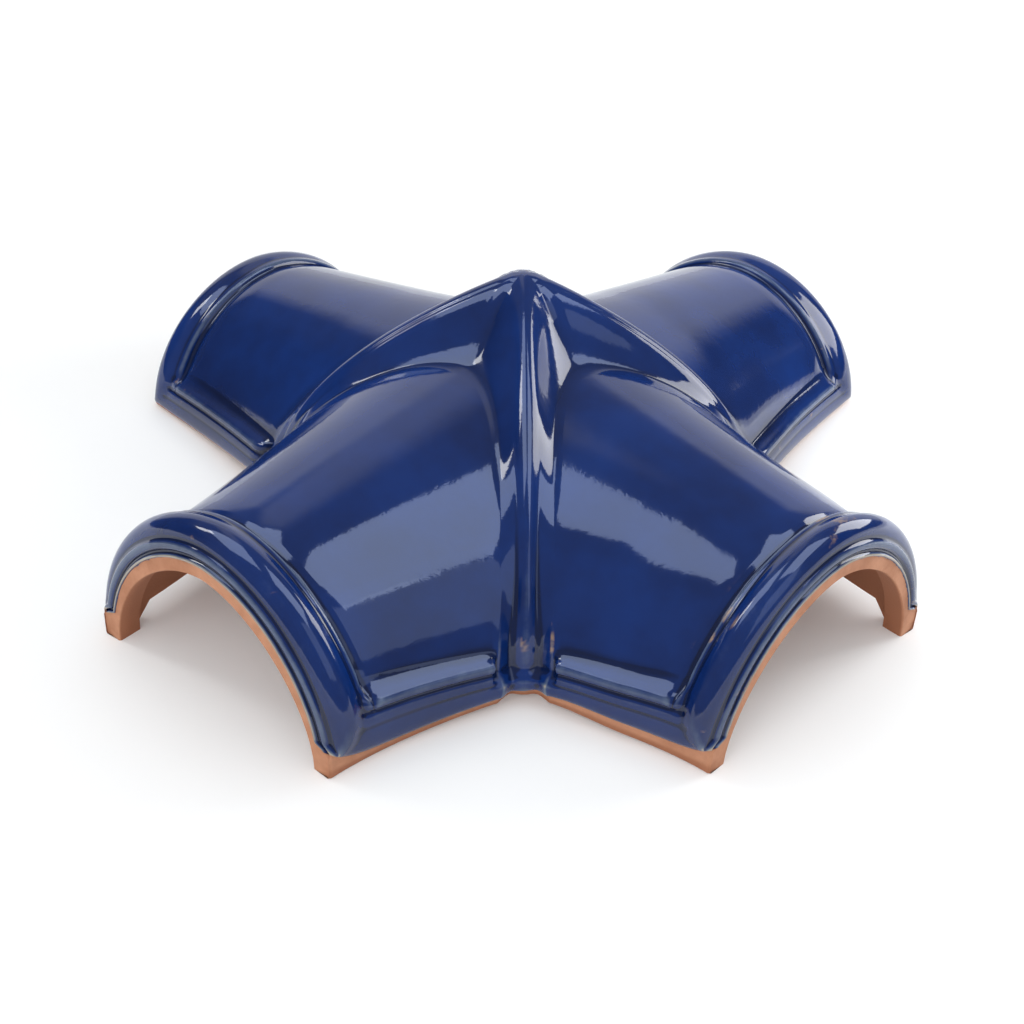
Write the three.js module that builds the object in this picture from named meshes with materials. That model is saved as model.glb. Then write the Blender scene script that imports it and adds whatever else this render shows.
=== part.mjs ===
// Four-way apex tile: a hollow fired-clay cap for the point where four roof ridges meet.
// Four arched arms run into a rounded, four-ribbed crown. Each arm ends in a bold half-round
// rim, and a low moulded ledge runs along both of its flanks. The tile is one piece of clay,
// open at the four arm ends and underneath, and it stands on the feet at the ends of its arms.
//
// Millimetres, +Z up. The front-right arm points along +X and the rear-right arm along +Y.
// It was moulded by hand, so its arms differ a little in length, direction and width.

import * as THREE from 'three';
import { mergeVertices } from 'three/addons/utils/BufferGeometryUtils.js';

// Overall sizes

const armLength = 250;             // centre of the tile to an arm's end
const apexHeight = 164.5;
const footHalfWidth = 88.4;        // half the width over an arm's feet
const footDepth = 14.2;            // how far a foot runs in from the end
const archHeight = 94.9;           // outside of the arch at an arm's end, without the rim
const archRise = 0.128;            // climb of an arm's crest towards the middle, per mm
const archExponent = 1.9;          // roundness of the arch: 2 is an ellipse
const flankFlare = 1.6;            // how late the flanks spread towards the valleys
const bottomBow = 1.4;             // how late their lower edges rise towards the valleys
const glazeEdgeHeight = 16.8;      // lip where the glaze stops, above the foot
const stripFall = 14;              // how quickly that lip comes down behind a foot
const rimInset = 31;               // where the rim ends and the plain arch begins

const openingHalfWidth = 75.9;     // collar inside each arm's end
const openingHeight = 78.7;
const openingExponent = 1.77;
const recessHalfWidth = 80.5;      // wider hollow behind the collar
const recessHeight = 84;
const crownWall = 14;              // wall of the crown, measured along its ribs

const crownReach = 49;             // where the crown meets an arm's crest
const crownSpread = 1.117;         // how fast that seam leaves the middle down the flanks
const crownHollow = 1.4;           // 1 is a flat sweep from arm to rib, more is a deeper one
const seamRound = 2.5;             // rounding where an arm's flank turns into its valley
const ribRoll = { low: 7, apex: 22, from: 50 };   // half-width of a rib's rounded top
const innerRoll = 1.6;             // how much wider that is under the crown
const ribStand = 4;                // how far a rib stands out low in its valley
const ribCurve = 0.45;             // profile of a rib from the apex to its valley
const ribTipRadius = 9;            // rounding of the apex

// Hand-made differences between the arms, and the valleys between them. Angles are in
// degrees, anticlockwise from +X; a rear arm's end is lower than a front arm's by its drop,
// bead is the height of its rim's bead and strip that of the bare clay under its glaze. The
// arms are alike as far out as evenTo, and their own length and width start there. In a
// valley, ledge and strip are the heights of the ledge's base line and of the glaze edge
// above the valley's bottom.

const frontEnd = { drop: 0, bead: 1, evenTo: 148 };
const rearEnd = { drop: 12.4, bead: 0.68, evenTo: 116 };
const arms = [
  { name: 'front right', angle: -2.88, length: 239.8, width: 1.048, strip: 9.6, ...frontEnd },
  { name: 'rear right', angle: 93.99, length: 283.5, width: 0.987, strip: 3.6, ...rearEnd },
  { name: 'rear left', angle: 179.05, length: 264.2, width: 0.996, strip: 3.6, ...rearEnd },
  { name: 'front left', angle: 273.87, length: 249.8, width: 1, strip: 5.7, ...frontEnd },
];
const sideValley = { reach: 150, bottom: 12, ledge: 3, strip: 3.6 };
const frontValley = { reach: 186, bottom: 5, ledge: 3.5, strip: 4.8 };
const dropFrom = 67.5;             // a rear arm's fall starts here

// The rim around an arm's end: [distance in from the end, height above the arch]

const rimOutline = [
  [0, -8.5], [1, -5.6], [1.6, -1.2], [3.2, 1], [4.9, 5.6], [8, 8.1], [12, 9.2], [17.5, 7.7],
  [22, 4.9], [25, 4.2], [27, -1.2], [rimInset, 0],
];

// The moulded flank, from the foot of the panel down to the floor. height is above the
// ledge's base line (or a share of the cove above the ledge), out is beyond the flank, rim is
// the share of the rim's height carried down there, end is the share of the rim's set-back on
// the end face, and valley is how far the moulding stands out around the bottom of a valley.
// Below bandTop the heights are shared out between that height and the glaze edge.

const ledgeTop = 22.5;
const bandTop = 12.5;
const noseLength = 6;              // a ledge runs out over this much before the crown
const coveHeight = { end: 9, valley: 3.5 };
const mouldings = [
  { name: 'cove top', cove: 1, hollow: 0, rim: 1, end: 1, valley: 0 },
  { name: 'cove', cove: 0.4, hollow: 1.6, rim: 1, end: 1, valley: 0 },
  { name: 'ledge top', height: ledgeTop, out: -1.4, rim: 1, end: 1, valley: 0 },
  { name: 'ledge crest', height: 19.5, out: 1.6, rim: 1, end: 1, valley: 0 },
  { name: 'ledge foot', height: 15.7, out: 0.7, rim: 0.9, end: 0.9, valley: 0 },
  { name: 'lower band', height: 8, out: 3.1, rim: 0.6, end: 0.7, valley: 1.5, kept: true },
  { name: 'glaze lip', height: 0.8, out: 2.7, rim: 0, end: 0.3, valley: 2.7, kept: true },
  { name: 'foot top', height: -0.8, out: 0, rim: 0, end: 0, valley: 0, kept: true },
  { name: 'foot', out: 0, rim: 0, end: 0, valley: 0, kept: true },
];

// How finely the surfaces are divided

const archSteps = 8;
const panelSteps = 6;
const innerPanelSteps = 4;
const innerFlankHeights = [0.66, 0.33, 0];   // shares of the cove's height
const crownShares = [0.28, 0.52, 0.7, 0.83, 0.92, 1];
const innerCrownShares = [0.35, 0.65, 0.86, 1];

// Small helpers

const radians = (degrees) => degrees * Math.PI / 180;
const lerp = (a, b, share) => a + (b - a) * share;
const clamp = (value) => Math.min(1, Math.max(0, value));
const smooth = (value) => clamp(value) ** 2 * (3 - 2 * clamp(value));

// Each arm has two halves, one on each side of its crest, and each half ends in a valley.
// A point on a half is [along the arm, away from its crest, height].

function makeHalf(arm, side) {
  const valleyAngle = Math.round((arm.angle + side * 45 - 45) / 90) * 90 + 45;
  const front = ((valleyAngle % 360) + 360) % 360 === 315;
  const valley = front ? frontValley : sideValley;
  const spread = radians(Math.abs(valleyAngle - arm.angle));
  return {
    arm, side, front, valley, spread,
    valleyAlong: valley.reach * Math.cos(spread),
    valleyAcross: valley.reach * Math.sin(spread),
  };
}

function place(half, [along, across, height]) {
  const { arm, side } = half;
  const stretch = Math.max(0, (along - arm.evenTo) / (armLength - arm.evenTo));
  const s = along + (arm.length - armLength) * stretch;
  const w = across * side * lerp(1, arm.width, smooth(stretch * 2));
  const angle = radians(arm.angle);
  return [
    s * Math.cos(angle) - w * Math.sin(angle),
    s * Math.sin(angle) + w * Math.cos(angle),
    height,
  ];
}

// Outlines that change along an arm: share is 0 at the end and 1 at the valley

const toValley = (half, along) => clamp((armLength - along) / (armLength - half.valleyAlong));

function crestHeight(half, along, endHeight) {
  const fall = half.arm.drop * clamp((along - dropFrom) / (armLength - dropFrom));
  return endHeight + archRise * (armLength - along) - fall;
}

function flankWidth(half, along, endWidth) {
  const share = Math.max(0, (armLength - along) / (armLength - half.valleyAlong));
  return endWidth + (half.valleyAcross - footHalfWidth) * share ** flankFlare;
}

function bottomHeight(half, along) {
  const behindFoot = armLength - footDepth - along;
  if (behindFoot <= 0) return 0;
  const run = armLength - footDepth - half.valleyAlong;
  const seenFromFront = half.front || half.arm.drop > 0;
  const share = seenFromFront ? clamp(behindFoot / run) ** bottomBow : smooth(behindFoot / 12);
  return half.valley.bottom * share;
}

function ledgeBase(half, along) {
  const atValley = half.valley.bottom + half.valley.ledge;
  return lerp(glazeEdgeHeight - half.arm.drop, atValley, toValley(half, along));
}

function glazeEdge(half, along) {
  const strip = lerp(half.arm.strip, half.valley.strip, toValley(half, along) ** 4);
  const atFoot = glazeEdgeHeight - half.arm.drop - strip;
  return bottomHeight(half, along) + strip + atFoot * Math.exp((along - armLength) / stripFall);
}

const acrossAt = (width, height, exponent, z) =>
  width * (1 - clamp(z / height) ** exponent) ** (1 / exponent);

// The ribs: height over distance from the middle, and the way back

function ribDistance(half, z, inset) {
  const { reach, bottom } = half.valley;
  const rise = clamp((z - bottom) / (apexHeight - inset - bottom));
  const longest = Math.hypot(reach - inset, ribTipRadius) - ribTipRadius;
  const run = (1 - rise ** (1 / ribCurve)) * longest + ribTipRadius;
  return Math.sqrt(Math.max(0, run ** 2 - ribTipRadius ** 2));
}

function ribStations(half, inset, lowest, count) {
  const samples = 240;
  const top = apexHeight - inset;
  const path = [];
  let length = 0;
  for (let k = 0; k <= samples; k += 1) {
    const z = lerp(top, lowest, 1 - Math.cos(Math.PI / 2 * k / samples));
    const r = ribDistance(half, z, inset);
    if (k > 0) length += Math.hypot(r - path[k - 1].r, z - path[k - 1].z);
    path.push({ r, z, length });
  }
  const stations = [];
  for (let j = 0; j <= count; j += 1) {
    const wanted = length * j / count;
    const k = Math.max(1, path.findIndex((p) => p.length >= wanted - 1e-9));
    const [a, b] = [path[k - 1], path[k]];
    const share = (wanted - a.length) / (b.length - a.length);
    stations.push([lerp(a.r, b.r, share), lerp(a.z, b.z, share)]);
  }
  return stations;
}

function ribNormal(half, z, inset) {
  const step = 0.5;
  const above = Math.min(z + step, apexHeight - inset);
  const dr = ribDistance(half, z - step, inset) - ribDistance(half, above, inset);
  const dz = above - z + step;
  const length = Math.hypot(dr, dz);
  return z > apexHeight - inset - step ? [0, 1] : [dz / length, dr / length];
}

// The crown between the seam with an arm and a rib: a hollow sweep ending in a rounded roll

function crownPoint(half, seam, rib, normal, share, wider) {
  const across = Math.sin(half.spread);
  const along = Math.cos(half.spread);
  const out = [normal[0] * along, normal[0] * across, normal[1]];
  const top = [rib[0] * along, rib[0] * across, rib[1]];
  const span = top.map((value, k) => value - seam[k]);
  const rise = span.reduce((sum, value, k) => sum + value * out[k], 0);
  const flat = span.map((value, k) => value - rise * out[k]);
  const width = Math.max(Math.hypot(...flat), 1e-6);
  const stand = ribStand * clamp(1 - rise / 12) * smooth(width / 10);
  const body = rise - stand;
  const highUp = smooth((rib[1] - ribRoll.from) / (apexHeight - ribRoll.from));
  const roll = wider * lerp(ribRoll.low, ribRoll.apex, highUp);
  const turn = Math.max(0.4, 1 - roll / width);
  const low = 1 / (turn ** crownHollow * (1 + (1 - turn) * crownHollow / (2 * turn)));
  const high = low * crownHollow * turn ** (crownHollow - 1) / (2 * (1 - turn));
  const rising = share < turn ? low * share ** crownHollow : 1 - high * (1 - share) ** 2;
  const lip = Math.min(seamRound / width, 0.5);
  const sinking = share < lip ? share ** 2 / lip : 1 - (1 - share) ** 2 / (1 - lip);
  const sweep = body > 0 ? rising : sinking;
  const edge = clamp((1 - share) * width / (roll * 1.2));
  const height = body * sweep + stand * (1 - edge ** 2) ** 2;
  return seam.map((value, k) => value + flat[k] * share + out[k] * height);
}

// Where an outline that moves along the arm meets the crown's seam

function seamPoint(half, outline, reach) {
  let along = 120;
  for (let k = 0; k < 60; k += 1) {
    const across = outline(along)[0];
    along = lerp(along, Math.hypot(reach, crownSpread * across / Math.tan(half.spread)), 0.5);
  }
  return along;
}

// Outer skin: rows from the rim to the rib, columns from the crest down to the floor

function archPoint(half, along, j) {
  const width = flankWidth(half, along, footHalfWidth);
  const height = crestHeight(half, along, archHeight);
  const panelFoot = mouldingHeight(half, along, mouldings[0]);
  const lowest = Math.acos(clamp(panelFoot / height) ** (archExponent / 2));
  const turn = lowest * j / archSteps;
  return [
    width * Math.sin(turn) ** (2 / archExponent),
    height * Math.max(0, Math.cos(turn)) ** (2 / archExponent),
  ];
}

function mouldingHeight(half, along, moulding) {
  if (moulding.cove !== undefined) {
    const cove = lerp(coveHeight.end, coveHeight.valley, toValley(half, along));
    return ledgeBase(half, along) + ledgeTop + cove * moulding.cove;
  }
  if (moulding.height === undefined) return bottomHeight(half, along);
  if (moulding.height > bandTop) return ledgeBase(half, along) + moulding.height;
  const bandFoot = glazeEdge(half, along);
  if (moulding.height < 0) return bandFoot + moulding.height;
  return lerp(bandFoot, ledgeBase(half, along) + bandTop, moulding.height / bandTop);
}

function mouldingPoint(half, along, moulding, strength) {
  const width = flankWidth(half, along, footHalfWidth);
  const z = mouldingHeight(half, along, moulding);
  const arch = acrossAt(width, crestHeight(half, along, archHeight), archExponent, z);
  const moulded = moulding.hollow === undefined ? width + moulding.out : arch - moulding.hollow;
  return [moulding.kept ? moulded : lerp(arch, moulded, strength), z];
}

const columnCount = archSteps + mouldings.length;

function outerPoint(half, along, column, strength) {
  return column < archSteps
    ? archPoint(half, along, column)
    : mouldingPoint(half, along, mouldings[column - archSteps], strength);
}

function outerColumns(half) {
  const lowest = mouldingHeight(half, half.valleyAlong, mouldings[0]);
  const stations = ribStations(half, 0, lowest, archSteps);
  const columns = [];
  for (let column = 0; column < columnCount; column += 1) {
    const points = [];
    const moulding = mouldings[column - archSteps];

    // Rim
    for (const [inset, height] of rimOutline) {
      const along = armLength - inset;
      const strength = smooth((inset - 24) / 7);
      const [w, z] = outerPoint(half, along, column, strength);
      const share = moulding ? (inset === 0 ? moulding.end : moulding.rim) : 1;
      const crest = crestHeight(half, along, archHeight);
      const width = flankWidth(half, along, footHalfWidth);
      const nw = (w / width) ** (archExponent - 1) / width;
      const nz = clamp(z / crest) ** (archExponent - 1) / crest;
      const length = Math.hypot(nw, nz);
      const lift = (height > 0 ? height * half.arm.bead : height) * share;
      const upright = moulding ? 0 : 1;
      const lip = moulding && moulding.kept && inset === 0 ? -moulding.out : 0;
      points.push([
        along,
        w + lip + lift * (upright ? nw / length : 1),
        z + lift * (upright ? nz / length : 0),
      ]);
    }

    // Panel
    const start = armLength - rimInset;
    const seamAlong = seamPoint(half, (s) => outerPoint(half, s, column, 0), crownReach);
    for (let k = 1; k <= panelSteps; k += 1) {
      const along = lerp(start, seamAlong, (k / panelSteps) ** 0.9);
      const strength = clamp((along - seamAlong) / noseLength);
      points.push([along, ...outerPoint(half, along, column, strength)]);
    }

    // Crown
    const seam = points[points.length - 1];
    let rib = stations[Math.min(column, archSteps)];
    if (moulding && column > archSteps) {
      const z = mouldingHeight(half, half.valleyAlong, moulding);
      rib = [ribDistance(half, z, 0) + moulding.valley, z];
    }
    const normal = ribNormal(half, rib[1], 0);
    for (const share of crownShares) {
      points.push(crownPoint(half, seam, rib, normal, share, 1));
    }
    columns.push(points);
  }
  return columns;
}

// Inner skin: the collar, the recess behind it, and the hollow of the crown

function innerArch(half, along, column, size) {
  const width = flankWidth(half, along, size.halfWidth);
  const height = crestHeight(half, along, size.height);
  const top = mouldingHeight(half, along, mouldings[0]) * 0.9;
  if (column <= archSteps) {
    const lowest = Math.acos(clamp(top / height) ** (size.exponent / 2));
    const turn = lowest * column / archSteps;
    return [
      width * Math.sin(turn) ** (2 / size.exponent),
      height * Math.max(0, Math.cos(turn)) ** (2 / size.exponent),
    ];
  }
  const z = lerp(bottomHeight(half, along), top, innerFlankHeights[column - archSteps - 1]);
  return [acrossAt(width, height, size.exponent, z), z];
}

function innerColumns(half) {
  const collar = {
    halfWidth: openingHalfWidth, height: openingHeight, exponent: openingExponent,
  };
  const recess = {
    halfWidth: recessHalfWidth, height: recessHeight, exponent: archExponent,
  };
  const lowest = mouldingHeight(half, half.valleyAlong, mouldings[0]) * 0.9;
  const stations = ribStations(half, crownWall, lowest, archSteps);
  const columns = [];
  for (let column = 0; column <= archSteps + innerFlankHeights.length; column += 1) {
    const collarBack = armLength - footDepth;
    const points = [
      [armLength, ...innerArch(half, armLength, column, collar)],
      [collarBack, ...innerArch(half, collarBack, column, collar)],
      [collarBack - 1.5, ...innerArch(half, collarBack - 1.5, column, recess)],
    ];
    const start = collarBack - 1.5;
    const seamAlong = seamPoint(half, (s) => innerArch(half, s, column, recess), crownReach - 4);
    for (let k = 1; k <= innerPanelSteps; k += 1) {
      const along = lerp(start, seamAlong, k / innerPanelSteps);
      points.push([along, ...innerArch(half, along, column, recess)]);
    }
    const seam = points[points.length - 1];
    let rib = stations[Math.min(column, archSteps)];
    if (column > archSteps) {
      const low = bottomHeight(half, half.valleyAlong);
      const z = lerp(low, lowest, innerFlankHeights[column - archSteps - 1]);
      rib = [ribDistance(half, z, crownWall), z];
    }
    const normal = ribNormal(half, rib[1], crownWall);
    for (const share of innerCrownShares) {
      points.push(crownPoint(half, seam, rib, normal, share, innerRoll));
    }
    columns.push(points);
  }
  return columns;
}

// One closed surface from all the halves

const corners = [];

function triangle(a, b, c) {
  corners.push(...a, ...b, ...c);
}

function skin(columns, flip) {
  for (let j = 0; j + 1 < columns.length; j += 1) {
    for (let i = 0; i + 1 < columns[j].length; i += 1) {
      const [a, b] = [columns[j][i], columns[j][i + 1]];
      const [d, c] = [columns[j + 1][i], columns[j + 1][i + 1]];
      if (flip) {
        triangle(a, c, b);
        triangle(a, d, c);
      } else {
        triangle(a, b, c);
        triangle(a, c, d);
      }
    }
  }
}

// Joins two edges that have different numbers of points, always by the shorter diagonal
function zip(first, second, flip) {
  const gap = (p, q) => Math.hypot(p[0] - q[0], p[1] - q[1], p[2] - q[2]);
  let i = 0;
  let k = 0;
  while (i + 1 < first.length || k + 1 < second.length) {
    const canFirst = i + 1 < first.length;
    const canSecond = k + 1 < second.length;
    const takeFirst = canFirst
      && (!canSecond || gap(first[i + 1], second[k]) <= gap(first[i], second[k + 1]));
    const next = takeFirst ? first[i + 1] : second[k + 1];
    if (flip) triangle(first[i], next, second[k]);
    else triangle(first[i], second[k], next);
    if (takeFirst) i += 1;
    else k += 1;
  }
}

for (const arm of arms) {
  for (const side of [1, -1]) {
    const half = makeHalf(arm, side);
    const toTile = (columns) => columns.map((points) => points.map((p) => place(half, p)));
    const outer = toTile(outerColumns(half));
    const inner = toTile(innerColumns(half));
    const flip = side < 0;
    skin(outer, !flip);
    skin(inner, flip);
    zip(outer.map((points) => points[0]), inner.map((points) => points[0]), flip);
    zip(outer[outer.length - 1], inner[inner.length - 1], flip);
  }
}

let geometry = new THREE.BufferGeometry();
geometry.setAttribute('position', new THREE.Float32BufferAttribute(corners, 3));
geometry = mergeVertices(geometry, 0.01);
geometry.computeBoundingBox();
const middle = geometry.boundingBox.getCenter(new THREE.Vector3());
geometry.translate(-middle.x, -middle.y, 0);
geometry.computeVertexNormals();

const cobaltGlaze = new THREE.MeshStandardMaterial({
  color: 0x233778, roughness: 0.15, metalness: 0,
});
const tile = new THREE.Mesh(geometry, cobaltGlaze);
tile.name = 'apex_tile';

const part = new THREE.Group();
part.add(tile);

export default part;
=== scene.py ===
import math

import bpy
import numpy as np
from mathutils import Matrix, Vector


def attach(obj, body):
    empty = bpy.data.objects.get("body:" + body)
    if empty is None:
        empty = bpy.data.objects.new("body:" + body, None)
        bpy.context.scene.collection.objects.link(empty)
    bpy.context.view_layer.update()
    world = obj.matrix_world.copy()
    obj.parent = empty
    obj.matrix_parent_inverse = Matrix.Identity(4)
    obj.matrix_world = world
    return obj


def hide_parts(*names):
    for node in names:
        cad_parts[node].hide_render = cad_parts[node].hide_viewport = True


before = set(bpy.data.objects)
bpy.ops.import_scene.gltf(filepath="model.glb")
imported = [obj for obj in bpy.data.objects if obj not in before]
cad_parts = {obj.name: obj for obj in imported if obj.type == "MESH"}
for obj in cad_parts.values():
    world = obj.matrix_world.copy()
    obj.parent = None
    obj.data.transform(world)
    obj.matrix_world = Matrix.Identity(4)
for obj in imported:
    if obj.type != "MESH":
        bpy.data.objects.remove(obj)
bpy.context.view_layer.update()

# The tile caps the point where four roof ridges meet. It is one hollow piece of orange
# earthenware: four arched arms were pressed in moulds and joined by hand under a ribbed crown
# while the clay was wet, then the outside was glazed cobalt blue and fired.

# The joining shows in the arms, which differ a little in length, direction and width. The rear
# ones fall by some millimetres. Between the arms lie four valleys, the front one the widest.

ARM_LENGTH = 250.0            # before an arm is stretched to its own length; all in mm
APEX_HEIGHT = 164.5
FOOT_HALF_WIDTH = 88.4
FOOT_DEPTH = 14.2
ARCH_HEIGHT = 94.9            # at an arm's end
ARCH_RISE = 0.128             # climb of a crest towards the crown
ARCH_ROUND = 1.9              # 2 is an ellipse, less is a more pointed arch
FLANK_FLARE = 1.6             # how late a flank swings out towards its valley
BOTTOM_BOW = 1.4              # how late a flank's lower edge rises towards its valley
GLAZE_EDGE = 16.8             # its height at an arm's end
DROP_FROM = 67.5              # a dropped arm starts to fall this far out

# An end's drop, the height of its rim beside the front ones, and where its arm starts to be
# longer or wider than the others.
FRONT_END = dict(drop=0, rim=1, even_to=148)
REAR_END = dict(drop=12.4, rim=0.68, even_to=116)
ARMS = {
    "front right": dict(angle=-2.88, length=239.8, width=1.048, strip=9.6, **FRONT_END),
    "rear right": dict(angle=93.99, length=283.5, width=0.987, strip=3.6, **REAR_END),
    "rear left": dict(angle=179.05, length=264.2, width=0.996, strip=3.6, **REAR_END),
    "front left": dict(angle=273.87, length=249.8, width=1.0, strip=5.7, **FRONT_END),
}
FRONT_VALLEY = dict(reach=186.0, bottom=5.0, ledge=3.5, strip=4.8)
SIDE_VALLEY = dict(reach=150.0, bottom=12.0, ledge=3.0, strip=3.6)
STRIP_FALL = 14.0             # how quickly the glaze edge comes down behind a foot
STEP_LENGTH = 12.0            # how soon a front arm's hidden flank steps up behind its foot


def mix(a, b, share):
    return a + (b - a) * share


def smooth(value):
    value = np.clip(value, 0, 1)
    return value * value * (3 - 2 * value)


class Half:
    """One side of an arm, from its crest down to the floor and in to its valley."""

    def __init__(self, arm, side):
        self.arm, self.side = arm, side
        valley_angle = math.floor((arm["angle"] + side * 45 - 45) / 90 + 0.5) * 90 + 45
        self.front = valley_angle % 360 == 315
        self.valley = FRONT_VALLEY if self.front else SIDE_VALLEY
        self.spread = math.radians(abs(valley_angle - arm["angle"]))
        self.valley_along = self.valley["reach"] * math.cos(self.spread)
        self.valley_across = self.valley["reach"] * math.sin(self.spread)

    def place(self, points):
        """Turns points of a standard half, as along, across and height, into the tile's own."""
        along, across, height = points[..., 0], points[..., 1], points[..., 2]
        stretch = np.maximum(0, (along - self.arm["even_to"]) / (ARM_LENGTH - self.arm["even_to"]))
        s = along + (self.arm["length"] - ARM_LENGTH) * stretch
        w = across * self.side * mix(1, self.arm["width"], smooth(stretch * 2))
        angle = math.radians(self.arm["angle"])
        x = s * math.cos(angle) - w * math.sin(angle)
        y = s * math.sin(angle) + w * math.cos(angle)
        return np.stack([x, y, height], axis=-1)

    def to_valley(self, along):
        return np.clip((ARM_LENGTH - along) / (ARM_LENGTH - self.valley_along), 0, 1)

    def crest(self, along, end_height):
        fall = self.arm["drop"] * np.clip((along - DROP_FROM) / (ARM_LENGTH - DROP_FROM), 0, 1)
        return end_height + ARCH_RISE * (ARM_LENGTH - along) - fall

    def flank(self, along, end_width):
        share = np.maximum(0, (ARM_LENGTH - along) / (ARM_LENGTH - self.valley_along))
        return end_width + (self.valley_across - FOOT_HALF_WIDTH) * share ** FLANK_FLARE

    def bottom(self, along):
        behind_foot = np.maximum(0, ARM_LENGTH - FOOT_DEPTH - along)
        if self.front or self.arm["drop"] > 0:
            share = np.clip(behind_foot / (ARM_LENGTH - FOOT_DEPTH - self.valley_along), 0, 1)
            share = share ** BOTTOM_BOW
        else:
            share = smooth(behind_foot / STEP_LENGTH)
        return self.valley["bottom"] * share

    def ledge_base(self, along):
        """The line that the ledge's mouldings are measured from."""
        at_valley = self.valley["bottom"] + self.valley["ledge"]
        return mix(GLAZE_EDGE - self.arm["drop"], at_valley, self.to_valley(along))

    def glaze_edge(self, along):
        strip = mix(self.arm["strip"], self.valley["strip"], self.to_valley(along) ** 4)
        at_foot = GLAZE_EDGE - self.arm["drop"] - strip
        return self.bottom(along) + strip + at_foot * np.exp((along - ARM_LENGTH) / STRIP_FALL)


def across_at(width, height, roundness, z):
    """Half-width of an arch at a height."""
    return width * (1 - np.clip(z / height, 0, 1) ** roundness) ** (1 / roundness)


# A bold half-round rim finishes each arm: it was run with a template while the clay was soft.
# Its face has a thin glaze lip, a hollow, a small roll and the main bead; behind it lie a flat
# step and a groove. Each pair is [distance in from the end, height above the arch].

RIM_OUTLINE = [
    (0.3, -8.7), (-0.6, -8.1), (-0.5, -7.2), (0.5, -6.6), (1.7, -6.3), (2.0, -5.7), (1.3, -5.0),
    (0.5, -3.8), (0.3, -2.2), (0.7, -0.8), (2.0, 0.0), (3.1, 0.4), (3.3, 1.2), (3.5, 2.8),
    (4.9, 5.6), (7.8, 8.0), (12.0, 9.0), (16.0, 8.2), (19.4, 6.2), (21.8, 4.7), (23.2, 4.6),
    (25.0, 4.2), (26.3, 2.2), (27.0, -0.5), (28.3, -1.5), (30.4, -0.9), (33.5, 0.0),
]


def rounded(points, times):
    """Cuts the corners of an open outline, which turns it into a smooth one."""
    points = np.array(points, float)
    for _ in range(times):
        near = points[:-1] * 0.75 + points[1:] * 0.25
        far = points[:-1] * 0.25 + points[1:] * 0.75
        middle = np.stack([near, far], axis=1).reshape(-1, points.shape[1])
        points = np.concatenate([points[:1], middle[1:-1], points[-1:]])
    return points


def spaced(points, count):
    """The same outline with evenly spaced points, and how far along it each one lies."""
    steps = np.linalg.norm(np.diff(points, axis=0), axis=1)
    run = np.concatenate([[0], np.cumsum(steps)])
    wanted = np.linspace(0, run[-1], count)
    return np.stack([np.interp(wanted, run, points[:, k]) for k in range(points.shape[1])], 1), wanted


ROUNDINGS = 2
RIM_POINTS = 64
rim, rim_run = spaced(rounded(RIM_OUTLINE, ROUNDINGS), RIM_POINTS)

# A moulded ledge runs along each flank, above the strip of clay that the tile stands on: a
# glaze lip, a flat band, a thin groove, a narrow crest and a cove that sweeps up to the arch.
# Each triple is [height above the glaze edge, distance out from the flank, matching rim inset].

LEDGE_OUTLINE = [
    (22.5, -1.6, 27.0), (21.6, 0.2, 25.6), (20.2, 1.5, 24.6), (18.2, 1.7, 23.4),
    (16.4, 1.2, 22.2), (15.6, 0.2, 21.5), (14.8, 1.0, 20.5), (13.0, 2.1, 18.5),
    (10.4, 2.5, 15.5), (8.9, 2.3, 13.5), (7.9, 3.0, 12.0), (4.8, 3.5, 7.5), (2.4, 3.4, 3.5),
    (0.9, 2.9, 1.4), (0.0, 2.3, 0.6), (-0.8, 1.3, -1.0), (-0.9, 0.0, -3.0),
]
LEDGE_TOP = LEDGE_OUTLINE[0][0]
BAND_TOP = 12.5               # below this the band reaches down to the glaze edge
COVE_AT_END = 9.0             # height of the cove above the ledge
COVE_AT_VALLEY = 3.5
COVE_POWER = 2.2              # how suddenly the cove sweeps out
COVE_INSET = 31.0             # rim inset that matches the top of the cove
MITRE_BLEND = 14.0            # the rim and the ledge melt into each other over this much
ABOVE_LEDGE = 1000.0          # insets of the columns that have no mitre
BELOW_LEDGE = -1000.0
RUNS_ON_BELOW = (7.0, 15.0)   # heights over which the ledge stops running on into the valley
FOOT_ROUNDING = [(1.3, 0.0), (0.6, 0.175), (0.2, 0.5), (0.0, 1.1)]   # height, distance in

ARCH_COLUMNS = 46
COVE_COLUMNS = 12
LEDGE_COLUMNS = 34
CLAY_COLUMNS = 4

ledge, _ = spaced(rounded(LEDGE_OUTLINE, ROUNDINGS), LEDGE_COLUMNS)
arch_share = np.linspace(0, 1, ARCH_COLUMNS + 1)[:-1, None]
cove_share = np.linspace(1, 0, COVE_COLUMNS + 1)[:-1, None]
ledge_height, ledge_out, ledge_inset = (ledge[:, k, None] for k in range(3))
clay_share = np.linspace(1, 0, CLAY_COLUMNS + 2)[1:-1, None]
foot_height = np.array([p[0] for p in FOOT_ROUNDING])[:, None]
foot_in = np.array([p[1] for p in FOOT_ROUNDING])[:, None]

column_inset = np.concatenate([
    np.full_like(arch_share, ABOVE_LEDGE),
    mix(LEDGE_OUTLINE[0][2], COVE_INSET, cove_share),
    ledge_inset,
    np.full((CLAY_COLUMNS + len(FOOT_ROUNDING), 1), BELOW_LEDGE),
])
column_kept = np.concatenate([
    np.zeros_like(arch_share),
    np.zeros_like(cove_share),
    1 - smooth((ledge_height - RUNS_ON_BELOW[0]) / (RUNS_ON_BELOW[1] - RUNS_ON_BELOW[0])),
    np.ones((CLAY_COLUMNS + len(FOOT_ROUNDING), 1)),
])
COLUMNS = len(column_inset)


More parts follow.
